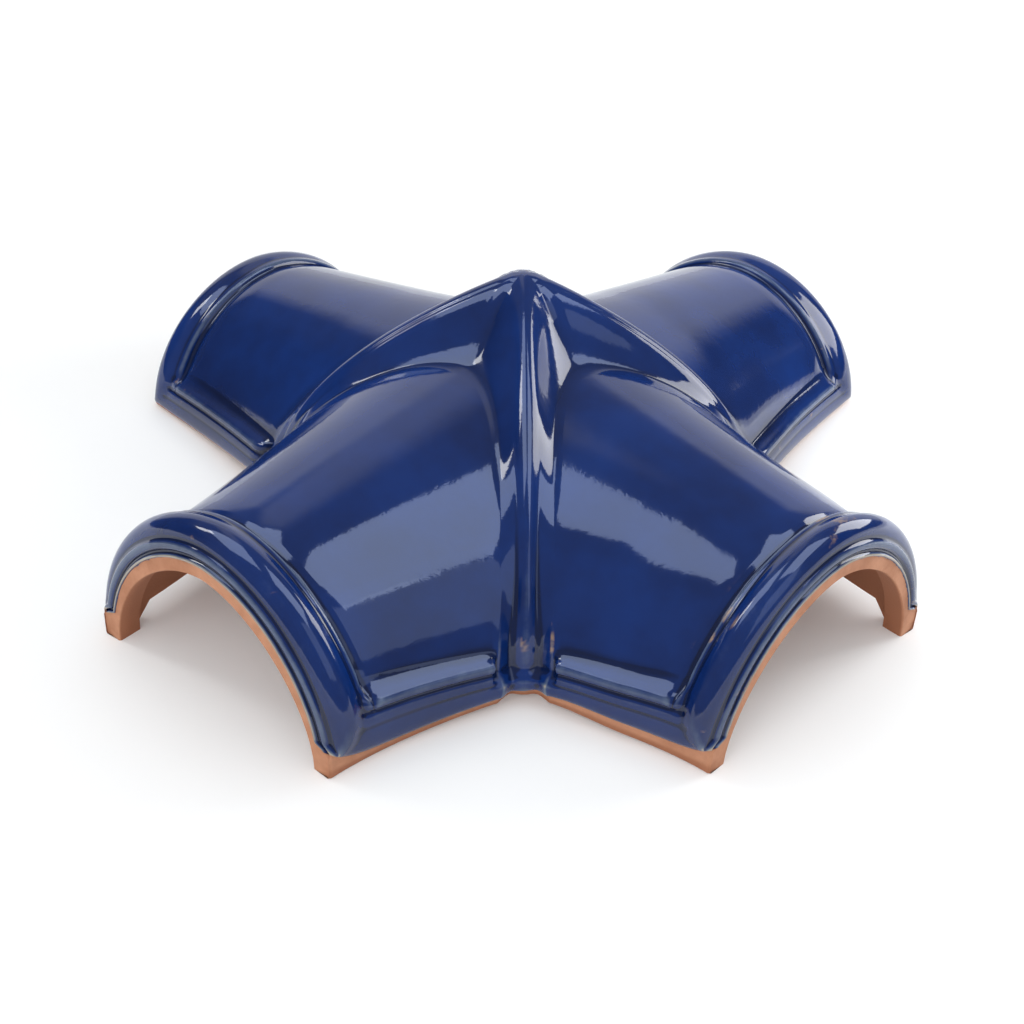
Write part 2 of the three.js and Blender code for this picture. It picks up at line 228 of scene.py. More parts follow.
def split(along):
    """Cuts an array with one row of places per column into the five kinds of column."""
    if along.shape[0] == 1:
        return along, along, along, along, along
    a = ARCH_COLUMNS
    b = a + COVE_COLUMNS
    c = b + LEDGE_COLUMNS
    d = c + CLAY_COLUMNS
    return along[:a], along[a:b], along[b:c], along[c:d], along[d:]


def section(half, along):
    """Arch and moulded outline of a half at every column: w of the arch, w moulded, z."""
    def sizes(s):
        return (half.flank(s, FOOT_HALF_WIDTH), half.crest(s, ARCH_HEIGHT), half.ledge_base(s),
                mix(COVE_AT_END, COVE_AT_VALLEY, half.to_valley(s)))
    at_arch, at_cove, at_ledge, at_clay, at_foot = split(along)

    width, height, base, cove = sizes(at_arch)
    lowest = np.arccos(np.clip((base + LEDGE_TOP + cove) / height, 0, 1) ** (ARCH_ROUND / 2))
    turn = lowest * arch_share
    w_arch = width * np.sin(turn) ** (2 / ARCH_ROUND)
    z_arch = height * np.cos(turn) ** (2 / ARCH_ROUND)
    rows = [(w_arch, w_arch, z_arch)]

    width, height, base, cove = sizes(at_cove)
    z = base + LEDGE_TOP + cove * cove_share
    plain = across_at(width, height, ARCH_ROUND, z)
    at_ledge_top = across_at(width, height, ARCH_ROUND, base + LEDGE_TOP)
    stand = width + LEDGE_OUTLINE[0][1] - at_ledge_top
    rows.append((plain, plain + stand * (1 - cove_share) ** COVE_POWER, z))

    width, height, base, _ = sizes(at_ledge)
    band = mix(half.glaze_edge(at_ledge), base + BAND_TOP, np.clip(ledge_height / BAND_TOP, 0, 1))
    z = np.where(ledge_height > BAND_TOP, base + ledge_height, band + np.minimum(ledge_height, 0))
    rows.append((across_at(width, height, ARCH_ROUND, z), width + ledge_out, z))

    width = sizes(at_clay)[0]
    clay_foot = half.bottom(at_clay) + FOOT_ROUNDING[0][0]
    z = mix(clay_foot, half.glaze_edge(at_clay) + LEDGE_OUTLINE[-1][0], clay_share)
    rows.append((width + 0 * z, width + 0 * z, z))

    width = sizes(at_foot)[0]
    z = half.bottom(at_foot) + foot_height
    rows.append((width - foot_in, width - foot_in, z + 0 * width))

    return [np.concatenate([np.broadcast_to(r[k], np.broadcast(*r).shape) for r in rows])
            for k in range(3)]


def outward(half, along, w, z):
    """Direction square to the arch, as its across and upward parts."""
    width, height = half.flank(along, FOOT_HALF_WIDTH), half.crest(along, ARCH_HEIGHT)
    nw = np.clip(w / width, 0, 1) ** (ARCH_ROUND - 1) / width
    nz = np.clip(z / height, 0, 1) ** (ARCH_ROUND - 1) / height
    length = np.hypot(nw, nz)
    return nw / length, nz / length


# The four ribs of the crown rise from the valleys to the apex, with a rounded roll along each.
# Between a rib and an arm the clay was pressed into a hollow sweep, and it was tooled smooth
# where it meets the arm's arch.

CROWN_REACH = 49.0            # from the apex to where an arm's crest meets the crown
CROWN_SPREAD = 1.117          # how quickly that seam moves out towards the flanks
RIB_ROLL = (7.0, 22.0)        # half-width of the roll, low and at the apex
RIB_ROLL_FROM = 50.0
RIB_STAND = 4.0               # how far a roll stands out, where the crown is low enough
RIB_STAND_UP_TO = 12.0
RIB_STAND_WIDTH = 10.0
ROLL_SPREAD = 1.2
LEAST_SWEEP = 0.4             # a sweep takes at least this share of the way to its rib
RIB_CURVE = 0.45              # 1 is a straight rib, less is a more bowed one
RIB_TIP = 9.0                 # rounding of the ribs where they meet at the apex
HOLLOW = 1.4                  # 1 is a flat sweep, more is a deeper one
SEAM_ROUND = 2.5
TOOL_MARK = 0.45              # fine groove left beside each roll
TOOL_MARK_WIDTH = 1.5
TOOL_MARK_FROM_RIB = 7.5
TOOL_MARK_FADE = 14.0
NOSE_LENGTH = 6.0             # a ledge rounds off over this much before the crown
END_ROUNDING = 1.2            # the outer edge of an arm's end is rounded by this much

PANEL_ROWS = 22
CROWN_ROWS = 29
DENSER_AT_CROWN = 0.9
DENSER_AT_RIB = 1.3
RIB_SAMPLES = 400
SEAM_TRIES = 60

FULL_GLAZE = 6.0              # mm inside the glaze's edge from which it is at its full thickness
GLAZE_LIP = 0.5
CLAY_STRIP = -2.0
# The collar's front and the inside, on the glaze scale, also set where the clay is painted darker as
# shade.
COLLAR_FRONT = -3.0
BARE_INSIDE = -6.0


def rib_distance(half, z, inset):
    reach, bottom = half.valley["reach"], half.valley["bottom"]
    rise = np.clip((z - bottom) / (APEX_HEIGHT - inset - bottom), 0, 1)
    longest = math.hypot(reach - inset, RIB_TIP) - RIB_TIP
    run = (1 - rise ** (1 / RIB_CURVE)) * longest + RIB_TIP
    return np.sqrt(np.maximum(0, run ** 2 - RIB_TIP ** 2))


def rib_stations(half, inset, lowest, count):
    """Evenly spaced points down a rib, as distances from the middle and heights."""
    top = APEX_HEIGHT - inset
    z = mix(top, lowest, 1 - np.cos(np.linspace(0, math.pi / 2, RIB_SAMPLES)))
    path = np.stack([rib_distance(half, z, inset), z], axis=1)
    return spaced(path, count)[0]


def rib_direction(half, z, inset):
    """Direction square to a rib in its own upright plane: outward and upward parts."""
    step = 0.5
    top = APEX_HEIGHT - inset
    above = np.minimum(z + step, top)
    dr = rib_distance(half, z - step, inset) - rib_distance(half, above, inset)
    dz = above - z + step
    length = np.hypot(dr, dz)
    at_top = z > top - step
    return np.where(at_top, 0, dz / length), np.where(at_top, 1, dr / length)


def crown(half, seam, rib, inset, share, roll, mark):
    """The sweep from an arm's seam to a rib, one row of points per column."""
    out_r, out_z = rib_direction(half, rib[:, 1], inset)
    along, across = math.cos(half.spread), math.sin(half.spread)
    out = np.stack([out_r * along, out_r * across, out_z], axis=1)
    top = np.stack([rib[:, 0] * along, rib[:, 0] * across, rib[:, 1]], axis=1)
    span = top - seam
    rise = (span * out).sum(axis=1)
    flat = span - rise[:, None] * out
    width = np.maximum(np.linalg.norm(flat, axis=1), 1e-6)
    high_up = smooth((rib[:, 1] - RIB_ROLL_FROM) / (APEX_HEIGHT - RIB_ROLL_FROM))
    roll = roll * mix(RIB_ROLL[0], RIB_ROLL[1], high_up)
    stand = RIB_STAND * np.clip(1 - rise / RIB_STAND_UP_TO, 0, 1) * smooth(width / RIB_STAND_WIDTH)
    body = (rise - stand)[:, None]
    turn = np.clip(1 - roll / width, LEAST_SWEEP, 1)[:, None]
    low = 1 / (turn ** HOLLOW * (1 + (1 - turn) * HOLLOW / (2 * turn)))
    high = low * HOLLOW * turn ** (HOLLOW - 1) / (2 * (1 - turn))
    rising = np.where(share < turn, low * share ** HOLLOW, 1 - high * (1 - share) ** 2)
    lip = np.clip(SEAM_ROUND / width, 0.01, 0.5)[:, None]
    sinking = np.where(share < lip, share ** 2 / lip, 1 - (1 - share) ** 2 / (1 - lip))
    sweep = np.where(body > 0, rising, sinking)
    from_rib = (1 - share) * width[:, None]
    edge = np.clip(from_rib / (roll * ROLL_SPREAD)[:, None], 0, 1)
    height = body * sweep + stand[:, None] * (1 - edge ** 2) ** 2
    fade = smooth(rise / TOOL_MARK_FADE)[:, None] * smooth(share * 3)
    height = height - mark * fade * np.exp(-((from_rib - TOOL_MARK_FROM_RIB) / TOOL_MARK_WIDTH) ** 2)
    return seam[:, None] + flat[:, None] * share[..., None] + out[:, None] * height[..., None]


def seam_along(half, across, reach, columns):
    """Where each column meets the crown: the crown's foot is a hyperbola round the middle."""
    along = np.full((columns, 1), 2.0 * CROWN_REACH)
    for _ in range(SEAM_TRIES):
        w = across(along)
        along = mix(along, np.hypot(reach, CROWN_SPREAD * w / math.tan(half.spread)), 0.5)
    return along


def outer_skin(half):
    """Points of a half's outside, with how far each one lies inside the glaze."""
    along = ARM_LENGTH - rim[None, :, 0]
    plain, moulded, z = section(half, along)
    nw, nz = outward(half, along, plain, z)
    share = smooth((column_inset - rim[None, :, 0]) / MITRE_BLEND + 0.5)
    lift = np.where(rim[:, 1] > 0, half.arm["rim"], 1)[None] * rim[None, :, 1]
    w = plain + mix(moulded - plain, nw * lift, share)
    z = z + share * nz * lift
    corner = np.clip(1 - rim[None, :, 0] / END_ROUNDING, 0, 1) ** 2 * (column_inset == BELOW_LEDGE)
    rim_part = np.stack([np.broadcast_to(along, w.shape), w - corner, z], axis=-1)

    seam = seam_along(half, lambda s: section(half, s)[0], CROWN_REACH, COLUMNS)
    steps = np.linspace(0, 1, PANEL_ROWS + 1)[None, 1:] ** DENSER_AT_CROWN
    along = mix(ARM_LENGTH - rim[-1, 0], seam, steps)
    plain, moulded, z = section(half, along)
    strength = smooth((along - seam) / NOSE_LENGTH)
    w = plain + (moulded - plain) * np.maximum(strength, column_kept)
    panel_part = np.stack([along, w, z], axis=-1)

    _, _, z_valley = section(half, np.full((1, 1), half.valley_along))
    z_valley = z_valley[:, 0]
    stations = rib_stations(half, 0, z_valley[ARCH_COLUMNS], ARCH_COLUMNS + 1)
    rib_r = rib_distance(half, z_valley, 0)
    out = np.concatenate([np.zeros(ARCH_COLUMNS + COVE_COLUMNS), ledge[:, 1],
                          np.zeros(CLAY_COLUMNS), -foot_in[:, 0]])
    rib_r = rib_r + out * column_kept[:, 0]
    rib = np.stack([rib_r, z_valley], axis=1)
    rib[:ARCH_COLUMNS] = stations[:-1]
    shares = 1 - (1 - np.linspace(0, 1, CROWN_ROWS + 1)[None, 1:]) ** DENSER_AT_RIB
    crown_part = crown(half, panel_part[:, -1], rib, 0, shares, 1.0,
                       0 if half.front else TOOL_MARK)

    points = np.concatenate([rim_part, panel_part, crown_part], axis=1)
    above_edge = np.concatenate([
        np.full(ARCH_COLUMNS + COVE_COLUMNS, FULL_GLAZE),
        ledge[:, 0] + GLAZE_LIP,
        CLAY_STRIP - np.arange(CLAY_COLUMNS + len(FOOT_ROUNDING)),
    ])
    from_end = np.concatenate([rim_run, np.full(PANEL_ROWS + CROWN_ROWS, FULL_GLAZE)])
    glaze = np.minimum(above_edge[:, None], from_end[None])
    return points, np.clip(glaze, BARE_INSIDE, FULL_GLAZE)


# Inside, the clay is bare. A thicker collar stiffens each arm's end; behind it the wall is a
# little thinner, and the crown is hollow right up under the apex.

COLLAR_HALF_WIDTH = 75.9
COLLAR_HEIGHT = 78.7
COLLAR_ROUND = 1.77
RECESS_HALF_WIDTH = 80.5
RECESS_HEIGHT = 84.0
COLLAR_EDGE = 1.0             # depth of the bevel at the collar's mouth
COLLAR_BEVEL = 0.8
RECESS_STEP = 1.5
CROWN_WALL = 14.0
CROWN_WALL_REACH = 4.0        # the hollow's seam lies this much nearer the middle
FLANK_TOP = 0.9               # inside, a flank is straight up to this share of the cove's height
INNER_ROLL = 1.6              # the hollow under a rib beside the roll on top of it
INNER_COLUMNS = 26
INNER_FLANK_COLUMNS = 6
INNER_PANEL_ROWS = 12
INNER_CROWN_ROWS = 12


def inner_section(half, along, half_width, height, roundness):
    """The arch inside a half, and below it the flank, at every inner column: w and z."""
    width, height = half.flank(along, half_width), half.crest(along, height)
    cove = mix(COVE_AT_END, COVE_AT_VALLEY, half.to_valley(along))
    top = (half.ledge_base(along) + LEDGE_TOP + cove) * FLANK_TOP
    lowest = np.arccos(np.clip(top / height, 0, 1) ** (roundness / 2))
    turn_share = np.linspace(0, 1, INNER_COLUMNS + 1)[:, None]
    flank_share = np.linspace(1, 0, INNER_FLANK_COLUMNS + 1)[1:, None]

    def upper(values):
        return values if values.shape[0] == 1 else values[:INNER_COLUMNS + 1]

    def lower(values):
        return values if values.shape[0] == 1 else values[INNER_COLUMNS + 1:]

    turn = upper(lowest) * turn_share
    w_high = upper(width) * np.sin(turn) ** (2 / roundness)
    z_high = upper(height) * np.cos(turn) ** (2 / roundness)
    z_low = mix(half.bottom(lower(along)), lower(top), flank_share)
    w_low = across_at(lower(width), lower(height), roundness, z_low)
    return np.concatenate([w_high, w_low]), np.concatenate([z_high, z_low])


def inner_skin(half):
    """Points of a half's inside, from the collar's mouth in to the hollow of the crown."""
    rows = []
    collar = (COLLAR_HALF_WIDTH, COLLAR_HEIGHT, COLLAR_ROUND)
    recess = (RECESS_HALF_WIDTH, RECESS_HEIGHT, ARCH_ROUND)
    back = ARM_LENGTH - FOOT_DEPTH
    for along, sizes, wider in (
        (ARM_LENGTH, collar, COLLAR_BEVEL),
        (ARM_LENGTH - COLLAR_EDGE, collar, 0),
        (mix(ARM_LENGTH, back, 0.5), collar, 0),
        (back, collar, 0),
        (back - RECESS_STEP, recess, 0),
    ):
        s = np.full((1, 1), float(along))
        w, z = inner_section(half, s, sizes[0] + wider, sizes[1] + wider, sizes[2])
        rows.append(np.stack([np.broadcast_to(s, w.shape), w, z], axis=-1))
    count = INNER_COLUMNS + INNER_FLANK_COLUMNS + 1
    reach = CROWN_REACH - CROWN_WALL_REACH
    seam = seam_along(half, lambda s: inner_section(half, s, *recess)[0], reach, count)
    along = mix(back - RECESS_STEP, seam, np.linspace(0, 1, INNER_PANEL_ROWS + 1)[None, 1:])
    w, z = inner_section(half, along, *recess)
    rows.append(np.stack([along, w, z], axis=-1))
    z_valley = inner_section(half, np.full((1, 1), half.valley_along), *recess)[1][:, 0]
    rib = np.stack([rib_distance(half, z_valley, CROWN_WALL), z_valley], axis=1)
    lowest = z_valley[INNER_COLUMNS]
    rib[:INNER_COLUMNS + 1] = rib_stations(half, CROWN_WALL, lowest, INNER_COLUMNS + 1)
    shares = np.linspace(0, 1, INNER_CROWN_ROWS + 1)[None, 1:]
    rows.append(crown(half, rows[-1][:, -1], rib, CROWN_WALL, shares, INNER_ROLL, 0))
    return np.concatenate(rows, axis=1)


# All the halves are joined into one closed skin, as the tile is one piece of clay. Each point
# remembers how far inside the glaze it lies, and how sharply the surface turns there, because
# glaze runs thin over edges and pools in hollows; the pale edges are partly a painted highlight.

MM = 0.001
MIDDLE = np.array([10.73, -16.84, 0])   # from the apex to the middle of the tile's plan box
SHARP_EDGE = math.radians(40)
MOST_BEND = 0.6               # per mm
EVENINGS = 3                  # times that the bend is averaged with its neighbours
LEAST_GAP = 0.05              # mm squared

points, glaze_at, faces = [], [], []


def add_points(new_points, new_glaze):
    """Adds a grid of points and returns their numbers, in the same grid."""
    start = sum(len(p) for p in points)
    points.append(new_points.reshape(-1, 3))
    glaze_at.append(np.broadcast_to(new_glaze, new_points.shape[:-1]).reshape(-1))
    return start + np.arange(new_points[..., 0].size).reshape(new_points.shape[:-1])


def add_skin(index, flip):
    a, b = index[:-1, :-1].ravel(), index[:-1, 1:].ravel()
    d, c = index[1:, :-1].ravel(), index[1:, 1:].ravel()
    faces.extend(np.stack([a, d, c, b] if flip else [a, b, c, d], axis=1).tolist())


def add_strip(first, second, flip):
    """Joins two edges with different numbers of points, always by the shorter diagonal."""
    spot = np.concatenate(points)
    i = k = 0
    while i + 1 < len(first) or k + 1 < len(second):
        gap_first = gap_second = math.inf
        if i + 1 < len(first):
            gap_first = np.linalg.norm(spot[first[i + 1]] - spot[second[k]])
        if k + 1 < len(second):
            gap_second = np.linalg.norm(spot[first[i]] - spot[second[k + 1]])
        step = first[i + 1] if gap_first <= gap_second else second[k + 1]
        corner = [first[i], step, second[k]] if flip else [first[i], second[k], step]
        faces.append([int(v) for v in corner])
        if gap_first <= gap_second:
            i += 1
        else:
            k += 1


for arm in ARMS.values():
    for side in (1, -1):
        half = Half(arm, side)
        outside, glaze = outer_skin(half)
        outer = add_points(half.place(outside), glaze)
        inside = inner_skin(half)
        # The clay inside is painted darker as shade, all but the collar's front edge.
        bare = np.full(inside.shape[:2], BARE_INSIDE)
        bare[:, 0] = COLLAR_FRONT
        inner = add_points(half.place(inside), bare)
        flip = side < 0
        add_skin(outer, not flip)
        add_skin(inner, flip)
        add_strip(outer[:, 0], inner[:, 0], flip)
        add_strip(outer[-1], inner[-1], flip)

points = np.concatenate(points)
glaze_at = np.concatenate(glaze_at)
_, first_seen, weld = np.unique(np.round(points, 2), axis=0, return_index=True, return_inverse=True)
weld = weld.ravel()
points, glaze_at = points[first_seen], glaze_at[first_seen]
points = points + MIDDLE

clean_faces = []
for face in faces:
    kept = []
    for v in (int(weld[v]) for v in face):
        if v not in kept:
            kept.append(v)
    if len(kept) > 2:
        clean_faces.append(kept)

mesh = bpy.data.meshes.new("glazed_tile")
mesh.from_pydata((points * MM).tolist(), [], clean_faces)
mesh.validate()
mesh.shade_smooth()
mesh.set_sharp_from_angle(angle=SHARP_EDGE)

edge_ends = np.empty(len(mesh.edges) * 2, np.int32)
mesh.edges.foreach_get("vertices", edge_ends)
edge_ends = edge_ends.reshape(-1, 2)
normals = np.empty(len(mesh.vertices) * 3, np.float32)
mesh.vertices.foreach_get("normal", normals)
normals = normals.reshape(-1, 3)


def turning(points, normals, ends):
    """Mean curvature at each point, per mm: above 0 on edges, below 0 in hollows."""
    total, count = np.zeros(len(points)), np.zeros(len(points))
    for a, b in ((ends[:, 0], ends[:, 1]), (ends[:, 1], ends[:, 0])):
        away = points[a] - points[b]
        bent = 2 * (away * normals[a]).sum(axis=1) / np.maximum((away ** 2).sum(axis=1), LEAST_GAP)
        np.add.at(total, a, bent)
        np.add.at(count, a, 1)
    return total / np.maximum(count, 1)


def evened(values, ends, times):
    for _ in range(times):
        total, count = values.copy(), np.ones(len(values))
        for a, b in ((ends[:, 0], ends[:, 1]), (ends[:, 1], ends[:, 0])):
            np.add.at(total, a, values[b])
            np.add.at(count, a, 1)
        values = total / count
    return values


bend = np.clip(turning(points, normals, edge_ends), -MOST_BEND, MOST_BEND)
bend = evened(bend, edge_ends, EVENINGS)
for name, values in (("glaze", glaze_at), ("bend", bend)):
    layer = mesh.attributes.new(name, "FLOAT", "POINT")
    layer.data.foreach_set("value", values.astype(np.float32))

tile = bpy.data.objects.new("glazed_tile", mesh)
bpy.context.scene.collection.objects.link(tile)
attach(tile, "root")
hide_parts("apex_tile")

# The clay is fired orange earthenware with a fine sandy grain, painted darker inside the tile as
# shade. The glaze is a deep cobalt one, brushed on thick: glossy and faintly rippled, tan where it
# runs thin over an edge, pale and greyish along edges (partly thin glaze, partly a painted
# highlight), and almost black where it pools.

CLAY_LIGHT = (0.54, 0.26, 0.150)
CLAY_DARK = (0.40, 0.172, 0.090)
CLAY_INSIDE_PAINTED_SHADE = (0.36, 0.142, 0.071)
COBALT_DEEP = (0.003, 0.011, 0.060)
COBALT_BRIGHT = (0.004, 0.024, 0.135)
COBALT_POOL = (0.0015, 0.003, 0.012)
GLAZE_THIN_AND_HIGHLIGHT = (0.11, 0.15, 0.22)
GLAZE_BARE = (0.42, 0.36, 0.27)
GLAZE_TAN = (0.34, 0.22, 0.13)

CLAY_ROUGHNESS = 0.86
GLAZE_ROUGHNESS = 0.07
GLAZE_REFRACTION = 1.52
GLAZE_THICKNESS = 0.0004      # metres, as the heights below are
EDGE_WAVER = 1.2              # mm that the glaze's edge wanders
GLAZE_STARTS = (-0.15, 0.25)  # mm inside its edge
PAINTED_SHADE_INSIDE = (-3.5, -5.5)   # places on the "glaze" scale, the collar's edge then inside, over which the clay is painted darker as shade

# Each pair is the bends, per mm, where a change of colour starts and where it is complete, and
# the number below it is how much of the new colour shows there.
POOLED = (0.002, 0.05)
MOST_POOLED = 0.7
# Along bent edges the glaze turns pale greyish: partly thin glaze, partly a painted highlight.
THINNED_AND_HIGHLIT = (0.05, 0.22)
MOST_THINNED_AND_HIGHLIT = 0.7
BARE = (0.19, 0.34)
MOST_BARE = 0.8
SPOTTED = (0.03, 0.07)
MOST_SPOTTED = 0.7
MOST_SPECKLED = 0.35

# How much a noise moves those changes, per mm.
POOL_MOTTLE = 0.012
WEAR_MOTTLE = 0.10
WEAR_PATCHES = 0.12

# How large a noise's pattern is (patterns per metre), how many finer layers it has, how strong
# they are and how much they are twisted.
EDGE_NOISE = (260,)
PATCHES = (16, 4, 0.55)
MOTTLE = (120, 3, 0.6)
SPOTS = (34, 4, 0.6, 0.6)
CLAY_CLOUDS = (45, 4, 0.6)

# How large a pattern is (patterns per metre) and how high it stands (metres).
WAVES = (60, 0.00007)
RIPPLE = (190, 0.000045)
PINHOLES = (700, 0.000006)
SAND = (600, 0.000168)
FINE_SAND = (1500, 0.000112)


class Shade:
    """A node's socket, which can be used in sums."""

    tree = None

    def __init__(self, socket):
        self.socket = socket

    @classmethod
    def node(cls, kind, settings=None, inputs=None, output=0):
        node = cls.tree.nodes.new(kind)
        for key, value in (settings or {}).items():
            setattr(node, key, value)
        for key, value in (inputs or {}).items():
            if isinstance(value, Shade):
                cls.tree.links.new(value.socket, node.inputs[key])
            else:
                node.inputs[key].default_value = value
        return cls(node.outputs[output]) if node.outputs else None

    @classmethod
    def math(cls, operation, first, second):
        return cls.node("ShaderNodeMath", {"operation": operation}, {0: first, 1: second})

    def __add__(self, other):
        return Shade.math("ADD", self, other)

    def __radd__(self, other):
        return Shade.math("ADD", other, self)

    def __sub__(self, other):
        return Shade.math("SUBTRACT", self, other)

    def __rsub__(self, other):
        return Shade.math("SUBTRACT", other, self)

    def __mul__(self, other):
        return Shade.math("MULTIPLY", self, other)

    def between(self, low, high):
        """0 at low, 1 at high and an even curve from one to the other."""
        return Shade.node("ShaderNodeMapRange", {"interpolation_type": "SMOOTHSTEP"},
                          {"Value": self, "From Min": low, "From Max": high})


def blend(share, low, high):
    """Mixes two colours by a share."""
    return Shade.node("ShaderNodeMix", {"data_type": "RGBA"}, {
        0: share,
        6: low if isinstance(low, Shade) else (*low, 1),
        7: high if isinstance(high, Shade) else (*high, 1),
    }, output=2)


def new_shader(owner):
    """Empties the node tree of a material or a world, and works on it from here on."""
    owner.use_nodes = True
    Shade.tree = owner.node_tree
    Shade.tree.nodes.clear()


def grain(scale, detail=2.0, roughness=0.5, distortion=0.0):
    return Shade.node("ShaderNodeTexNoise", {}, {
        "Vector": where, "Scale": scale, "Detail": detail, "Roughness": roughness,
        "Distortion": distortion,
    }, output="Fac")


glazed_clay = bpy.data.materials.new("cobalt_glaze_on_clay")
new_shader(glazed_clay)
where = Shade.node("ShaderNodeTexCoord", output="Object")
glaze_depth = Shade.node("ShaderNodeAttribute", {"attribute_name": "glaze"}, output="Fac")
bend_here = Shade.node("ShaderNodeAttribute", {"attribute_name": "bend"}, output="Fac")

glazed = (glaze_depth + (grain(*EDGE_NOISE) - 0.5) * EDGE_WAVER).between(*GLAZE_STARTS)
patches = grain(*PATCHES) - 0.5
mottle = grain(*MOTTLE) - 0.5
sandy = grain(SAND[0])

cobalt = blend(patches.between(-0.3, 0.3), COBALT_DEEP, COBALT_BRIGHT)
pooled = (mottle * POOL_MOTTLE - bend_here).between(*POOLED)
cobalt = blend(pooled * MOST_POOLED, cobalt, COBALT_POOL)
thinness_and_sheen = bend_here + mottle * WEAR_MOTTLE + patches * WEAR_PATCHES
# Pale greyish edges: partly thin glaze, partly a painted highlight along the crests.
cobalt = blend(thinness_and_sheen.between(*THINNED_AND_HIGHLIT) * MOST_THINNED_AND_HIGHLIT, cobalt, GLAZE_THIN_AND_HIGHLIGHT)
cobalt = blend(thinness_and_sheen.between(*BARE) * MOST_BARE, cobalt, GLAZE_BARE)
spots = grain(*SPOTS).between(0.60, 0.70) * bend_here.between(*SPOTTED)
cobalt = blend(spots * MOST_SPOTTED, cobalt, GLAZE_TAN)

clay = blend(grain(*CLAY_CLOUDS).between(0.3, 0.7), CLAY_LIGHT, CLAY_DARK)
clay = blend(sandy.between(0.62, 0.75) * MOST_SPECKLED, clay, CLAY_DARK)
# Painted shade: the clay inside the tile is darker, standing in for the shade under it.
clay = blend(glaze_depth.between(*PAINTED_SHADE_INSIDE), clay, CLAY_INSIDE_PAINTED_SHADE)

ripple = grain(RIPPLE[0], 2, 0.5, 0.4) * RIPPLE[1]
ripple = ripple + grain(WAVES[0]) * WAVES[1] + grain(PINHOLES[0]) * PINHOLES[1]
sand = sandy * SAND[1] + grain(FINE_SAND[0]) * FINE_SAND[1]
height = ripple * glazed + sand * (1 - glazed) + glazed * GLAZE_THICKNESS
bump = Shade.node("ShaderNodeBump", {}, {"Height": height, "Strength": 1.0, "Distance": 1.0})
surface = Shade.node("ShaderNodeBsdfPrincipled", {}, {
    "Base Color": blend(glazed, clay, cobalt),
    "Roughness": CLAY_ROUGHNESS - glazed * (CLAY_ROUGHNESS - GLAZE_ROUGHNESS),
    "Normal": bump, "IOR": GLAZE_REFRACTION,
})
Shade.node("ShaderNodeOutputMaterial", {}, {"Surface": surface})
mesh.materials.append(glazed_clay)

# The floor is a square of matt white paper, laid flat. It glows with painted light, a little all
# over to lift its shadows, and more far from the tile, where it nears the lit wall.

PAPER_SIZE = 3.4              # metres, as all lengths below are
PAPER_COLOUR = (0.845, 0.86, 0.87)
PAPER_NEAR_GLOW = 0.10
PAPER_FAR_GLOW = 0.4
PAPER_GLOW_FROM = (0.4, 1.3)

paper_mesh = bpy.data.meshes.new("floor")
reach = PAPER_SIZE / 2
corners = [(-reach, -reach, 0), (reach, -reach, 0), (reach, reach, 0), (-reach, reach, 0)]
paper_mesh.from_pydata(corners, [], [(0, 1, 2, 3)])
paper = bpy.data.objects.new("floor", paper_mesh)
bpy.context.scene.collection.objects.link(paper)

matt_paper = bpy.data.materials.new("floor")
new_shader(matt_paper)
from_middle = Shade.node("ShaderNodeVectorMath", {"operation": "LENGTH"}, {
    0: Shade.node("ShaderNodeTexCoord", output="Object"),
}, output="Value")
# Painted light: the paper's emission lifts the shadows near the tile and brightens the paper far from
# it.
painted_glow = blend(from_middle.between(*PAPER_GLOW_FROM), (PAPER_NEAR_GLOW,) * 3, (PAPER_FAR_GLOW,) * 3)
surface = Shade.node("ShaderNodeBsdfPrincipled", {}, {
    "Base Color": (*PAPER_COLOUR, 1), "Roughness": 1.0, "Specular IOR Level": 0.0,
    "Emission Color": painted_glow, "Emission Strength": 1.0,
})
Shade.node("ShaderNodeOutputMaterial", {}, {"Surface": surface})
paper_mesh.materials.append(matt_paper)

# The camera stands in front of the tile and looks down on it, as the photograph does. The two
# near arms come towards it, and it is turned by a few degrees on its own line of sight.

CAMERA_TURN = math.radians(41.772)    # round from -Y towards +X
CAMERA_RISE = math.radians(33.388)
CAMERA_ROLL = math.radians(2.811)
CAMERA_DISTANCE = 0.9564              # from the middle of the tile's plan box
CAMERA_RIGHT = -0.00029
CAMERA_UP = -0.00072
FOCAL_SHARE = 1500 / 1024             # focal length over the frame's width
SENSOR = 36.0


def towards(turn, rise):
    """Direction from the tile to a place round it, as turn from -Y and rise from the floor."""
    level_part = math.cos(rise)
    return Vector((math.sin(turn) * level_part, -math.cos(turn) * level_part, math.sin(rise)))


target = Vector(MIDDLE * MM)
back = towards(CAMERA_TURN, CAMERA_RISE)
level_right = Vector((math.cos(CAMERA_TURN), math.sin(CAMERA_TURN), 0))
level_up = back.cross(level_right)
right = math.cos(CAMERA_ROLL) * level_right + math.sin(CAMERA_ROLL) * level_up
up = math.cos(CAMERA_ROLL) * level_up - math.sin(CAMERA_ROLL) * level_right

camera_data = bpy.data.cameras.new("camera")
camera_data.sensor_width = SENSOR
camera_data.lens = SENSOR * FOCAL_SHARE
camera = bpy.data.objects.new("camera", camera_data)
stand = target + back * CAMERA_DISTANCE + right * CAMERA_RIGHT + up * CAMERA_UP
camera.matrix_world = Matrix.Translation(stand) @ Matrix((right, up, back)).transposed().to_4x4()
bpy.context.scene.collection.objects.link(camera)
bpy.context.scene.camera = camera
bpy.context.scene.view_settings.view_transform = "Standard"

# The studio lights are soft boxes on stands round the tile: a large one high on each side, a
# dim one low at the right, and a narrow one on each side for the bright lines on ribs and rims.
# Broad sheets above, in front and low on both sides fill the shadows.

WHITE = (1, 1, 1)
COOL = (0.90, 1.08, 1.50)


